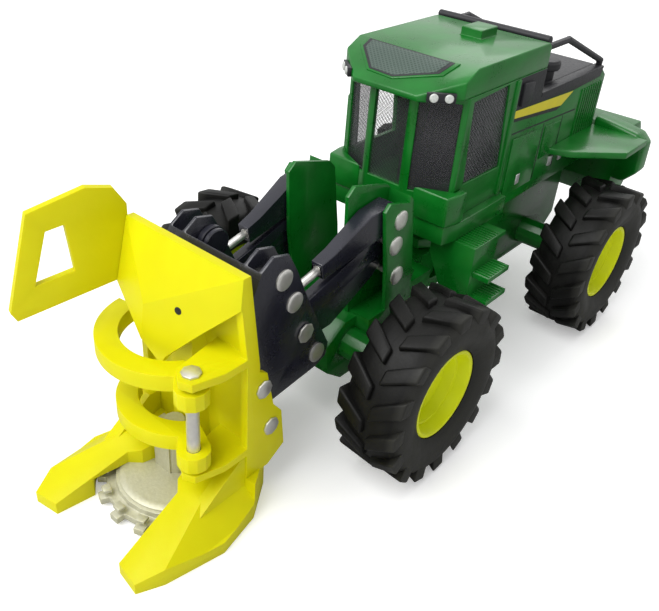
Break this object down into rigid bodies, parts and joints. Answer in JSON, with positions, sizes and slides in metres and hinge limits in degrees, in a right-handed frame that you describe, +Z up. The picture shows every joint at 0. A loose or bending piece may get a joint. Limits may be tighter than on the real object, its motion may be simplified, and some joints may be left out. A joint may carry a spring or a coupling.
{
  "type": "toy four-wheeled feller buncher",
  "caption": "Die-cast toy of a green, rubber-tyred feller buncher with a yellow disc-saw felling head on a lift linkage.",
  "frame": {"origin": "centre of the footprint on the floor", "axes": "+X forward, +Y the machine's left, +Z up"},
  "size_m": [0.1399, 0.0598, 0.0633],
  "materials": {
    "green_paint": "gloss",
    "yellow_plastic": "satin",
    "black_plastic": "satin",
    "tyre_rubber": "matte",
    "bright_metal": "satin",
    "cast_metal": "satin",
    "window_mesh": "satin",
    "lamp_lens": "gloss"
  },
  "bodies": {
    "chassis": {"rear_frame": "green_paint", "rear_axle": "green_paint", "cab_deck": "green_paint", "cab_shell": "green_paint", "cab_roof": "green_paint", "cab_windows": "window_mesh", "cab_nose": "green_paint", "seat": "black_plastic", "hood": "green_paint", "hood_top": "black_plastic", "intake": "black_plastic", "guard_bars": "black_plastic", "bumper": "green_paint", "fenders": "green_paint", "steps": "green_paint", "lamps": "lamp_lens", "steering_pin": "bright_metal"},
    "front": {"front_frame": "green_paint", "front_axle": "green_paint", "tower_pins": "bright_metal"},
    "wheel_front_left": {"tyre_front_left": "tyre_rubber", "rim_front_left": "yellow_plastic"},
    "wheel_front_right": {"tyre_front_right": "tyre_rubber", "rim_front_right": "yellow_plastic"},
    "wheel_rear_left": {"tyre_rear_left": "tyre_rubber", "rim_rear_left": "yellow_plastic"},
    "wheel_rear_right": {"tyre_rear_right": "tyre_rubber", "rim_rear_right": "yellow_plastic"},
    "lift": {"lift_arm_left": "black_plastic", "lift_arm_right": "black_plastic", "arm_pins": "bright_metal"},
    "head": {"carriage": "black_plastic", "carriage_pins": "bright_metal", "head_body": "yellow_plastic", "head_plate": "yellow_plastic", "head_wing": "yellow_plastic", "head_base": "yellow_plastic", "saw_post": "cast_metal", "head_rivets": "bright_metal", "hinge_pin": "bright_metal"},
    "saw": {"saw_disc": "cast_metal"},
    "upper": {"upper_arm": "yellow_plastic"},
    "lower": {"lower_arm": "yellow_plastic"},
    "casing_left": {"tilt_casing_left": "black_plastic"},
    "casing_right": {"tilt_casing_right": "black_plastic"},
    "gland_left": {"tilt_gland_left": "bright_metal"},
    "gland_right": {"tilt_gland_right": "bright_metal"},
    "rod_left": {"tilt_rod_left": "bright_metal"},
    "rod_right": {"tilt_rod_right": "bright_metal"}
  },
  "joints": [
    {"name": "steering", "type": "hinge", "parent": "chassis", "child": "front", "pos_m": [-0.014, 0, 0.018], "axis": [0, 0, 1], "range_deg": [-16, 16]},
    {"name": "wheel_front_left_spin", "type": "hinge", "parent": "front", "child": "wheel_front_left", "pos_m": [0.0181, 0.024, 0.0164], "axis": [0, 1, 0], "continuous": true},
    {"name": "wheel_front_right_spin", "type": "hinge", "parent": "front", "child": "wheel_front_right", "pos_m": [0.0181, -0.024, 0.0164], "axis": [0, 1, 0], "continuous": true},
    {"name": "wheel_rear_left_spin", "type": "hinge", "parent": "chassis", "child": "wheel_rear_left", "pos_m": [-0.0443, 0.024, 0.0164], "axis": [0, 1, 0], "continuous": true},
    {"name": "wheel_rear_right_spin", "type": "hinge", "parent": "chassis", "child": "wheel_rear_right", "pos_m": [-0.0443, -0.024, 0.0164], "axis": [0, 1, 0], "continuous": true},
    {"name": "lift", "type": "hinge", "parent": "front", "child": "lift", "pos_m": [0.0118, 0, 0.03463], "axis": [0, -1, 0], "range_deg": [0, 35]},
    {"name": "tilt", "type": "hinge", "parent": "lift", "child": "head", "pos_m": [0.03257, 0, 0.02646], "axis": [0, -1, 0], "range_deg": [-20, 12]},
    {"name": "saw_spin", "type": "hinge", "parent": "head", "child": "saw", "pos_m": [0.0514, 0, 0.002], "axis": [0, 0, 1], "continuous": true},
    {"name": "upper_arm_swing", "type": "hinge", "parent": "head", "child": "upper", "pos_m": [0.0552, 0.009, 0.0268], "axis": [0, 0, 1], "range_deg": [0, 60]},
    {"name": "lower_arm_swing", "type": "hinge", "parent": "head", "child": "lower", "pos_m": [0.0552, 0.009, 0.015], "axis": [0, 0, 1], "range_deg": [0, 60]},
    {"name": "casing_left_turn", "type": "hinge", "parent": "front", "child": "casing_left", "pos_m": [0.01125, 0.00805, 0.03925], "axis": [0, -1, 0], "range_deg": [0, 33.5]},
    {"name": "gland_left_slide", "type": "slide", "parent": "casing_left", "child": "gland_left", "axis": [0.9736, 0, -0.2283], "range_m": [-0.003, 0]},
    {"name": "rod_left_slide", "type": "slide", "parent": "gland_left", "child": "rod_left", "axis": [0.9736, 0, -0.2283], "range_m": [-0.0016, 0.0026]},
    {"name": "casing_right_turn", "type": "hinge", "parent": "front", "child": "casing_right", "pos_m": [0.01125, -0.00805, 0.03925], "axis": [0, -1, 0], "range_deg": [0, 33.5]},
    {"name": "gland_right_slide", "type": "slide", "parent": "casing_right", "child": "gland_right", "axis": [0.9736, 0, -0.2283], "range_m": [-0.003, 0]},
    {"name": "rod_right_slide", "type": "slide", "parent": "gland_right", "child": "rod_right", "axis": [0.9736, 0, -0.2283], "range_m": [-0.0016, 0.0026]}
  ],
  "couplings": [
    {"joint": "casing_left_turn", "follows": "lift", "ratio": 0.943},
    {"joint": "gland_left_slide", "follows": "lift", "m_per_rad": -0.004743},
    {"joint": "rod_left_slide", "follows": "tilt", "m_per_rad": -0.007216},
    {"joint": "casing_right_turn", "follows": "lift", "ratio": 0.943},
    {"joint": "gland_right_slide", "follows": "lift", "m_per_rad": -0.004743},
    {"joint": "rod_right_slide", "follows": "tilt", "m_per_rad": -0.007216}
  ]
}
